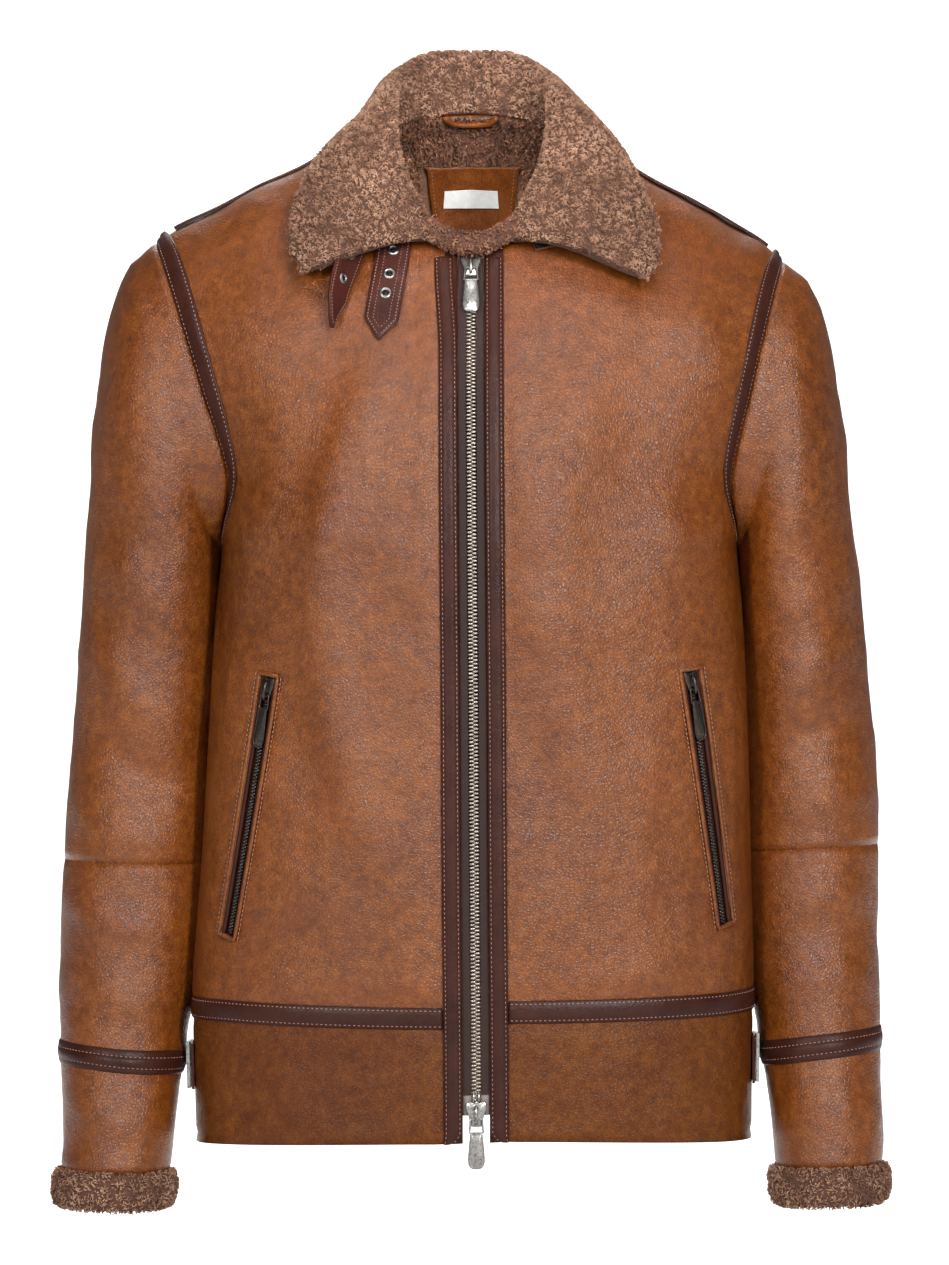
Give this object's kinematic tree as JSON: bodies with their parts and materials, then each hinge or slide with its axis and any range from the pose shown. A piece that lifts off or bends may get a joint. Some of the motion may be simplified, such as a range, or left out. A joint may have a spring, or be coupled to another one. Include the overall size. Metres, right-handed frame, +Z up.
{
  "type": "shearling coat",
  "caption": "Short shearling coat filled out as if worn, with a turned-down fur collar, fur cuffs, a two-way front zip, slanted zip pockets and leather strips over the seams.",
  "frame": {"origin": "mid-shoulders at the base of the neck, where the wearer's shoulders hold the coat up", "axes": "+Z up, -Y out of the front, +X towards the wearer's left arm"},
  "size_m": [0.5989, 0.2622, 0.838],
  "materials": {
    "suede": "grained, softly shining",
    "trim_leather": "smooth, semi-gloss",
    "fur": "curly wool",
    "tape": "woven",
    "chain": "worn metal",
    "hardware": "antique",
    "label": "woven"
  },
  "bodies": {
    "coat": {"front_left": "suede", "front_right": "suede", "back": "suede", "band_front_left": "suede", "band_front_right": "suede", "band_back": "suede", "sleeve_upper_left": "suede", "sleeve_lower_left": "suede", "sleeve_cuff_left": "suede", "sleeve_upper_right": "suede", "sleeve_lower_right": "suede", "sleeve_cuff_right": "suede", "hang_loop": "suede", "neck_patch": "suede", "waist_strip_left": "trim_leather", "waist_strip_right": "trim_leather", "waist_strip_back": "trim_leather", "shoulder_strip_left": "trim_leather", "armhole_strip_left": "trim_leather", "cuff_strip_left": "trim_leather", "placket_left": "trim_leather", "pocket_facing_left": "trim_leather", "side_tab_left": "trim_leather", "shoulder_strip_right": "trim_leather", "armhole_strip_right": "trim_leather", "cuff_strip_right": "trim_leather", "placket_right": "trim_leather", "pocket_facing_right": "trim_leather", "side_tab_right": "trim_leather", "collar_strap_front": "trim_leather", "collar_strap_rear": "trim_leather", "buckle_strap_front": "trim_leather", "buckle_strap_rear": "trim_leather", "collar": "fur", "cuff_fur_left": "fur", "cuff_fur_right": "fur", "zip_tape_left": "tape", "zip_tape_right": "tape", "zip_chain_left": "chain", "zip_chain_right": "chain", "pocket_chain_left": "chain", "pocket_chain_right": "chain", "zip_slider_top": "hardware", "zip_slider_bottom": "hardware", "pocket_slider_left": "hardware", "side_buckle_left": "hardware", "pocket_slider_right": "hardware", "side_buckle_right": "hardware", "neck_label": "label"},
    "zip_pull_top": {"zip_pull_top": "hardware"},
    "zip_pull_bottom": {"zip_pull_bottom": "hardware"},
    "pocket_pull_left": {"pocket_pull_left": "hardware"},
    "pocket_pull_right": {"pocket_pull_right": "hardware"},
    "collar_buckle_front": {"collar_buckle_front": "hardware"},
    "collar_buckle_rear": {"collar_buckle_rear": "hardware"},
    "buckle_prong_front": {"buckle_prong_front": "hardware"},
    "buckle_prong_rear": {"buckle_prong_rear": "hardware"}
  },
  "joints": [
    {"name": "zip_pull_top_hinge", "type": "hinge", "parent": "coat", "child": "zip_pull_top", "pos_m": [-0.0025, -0.08907, -0.10028], "axis": [-1, 0, 0], "range_deg": [0, 110]},
    {"name": "zip_pull_bottom_hinge", "type": "hinge", "parent": "coat", "child": "zip_pull_bottom", "pos_m": [0.00127, -0.12255, -0.69442], "axis": [-1, 0, 0], "range_deg": [0, 120]},
    {"name": "pocket_pull_left_hinge", "type": "hinge", "parent": "coat", "child": "pocket_pull_left", "pos_m": [0.15427, -0.09673, -0.39402], "axis": [-0.8313, -0.5284, -0.1723], "range_deg": [0, 120]},
    {"name": "pocket_pull_right_hinge", "type": "hinge", "parent": "coat", "child": "pocket_pull_right", "pos_m": [-0.14703, -0.09673, -0.3983], "axis": [-0.8095, 0.5564, 0.1873], "range_deg": [0, 120]},
    {"name": "collar_buckle_front_hinge", "type": "hinge", "parent": "coat", "child": "collar_buckle_front", "pos_m": [0.04887, -0.07042, -0.06661], "axis": [-0.9531, -0.2007, -0.2264], "range_deg": [0, 8]},
    {"name": "collar_buckle_rear_hinge", "type": "hinge", "parent": "coat", "child": "collar_buckle_rear", "pos_m": [0.08757, -0.06758, -0.0702], "axis": [-0.9181, 0.0689, 0.3904], "range_deg": [0, 8]},
    {"name": "buckle_prong_front_hinge", "type": "hinge", "parent": "collar_buckle_front", "child": "buckle_prong_front", "pos_m": [0.04887, -0.07042, -0.06661], "axis": [-0.9531, -0.2007, -0.2264], "range_deg": [0, 8]},
    {"name": "buckle_prong_rear_hinge", "type": "hinge", "parent": "collar_buckle_rear", "child": "buckle_prong_rear", "pos_m": [0.08757, -0.06758, -0.0702], "axis": [-0.9181, 0.0689, 0.3904], "range_deg": [0, 8]}
  ]
}
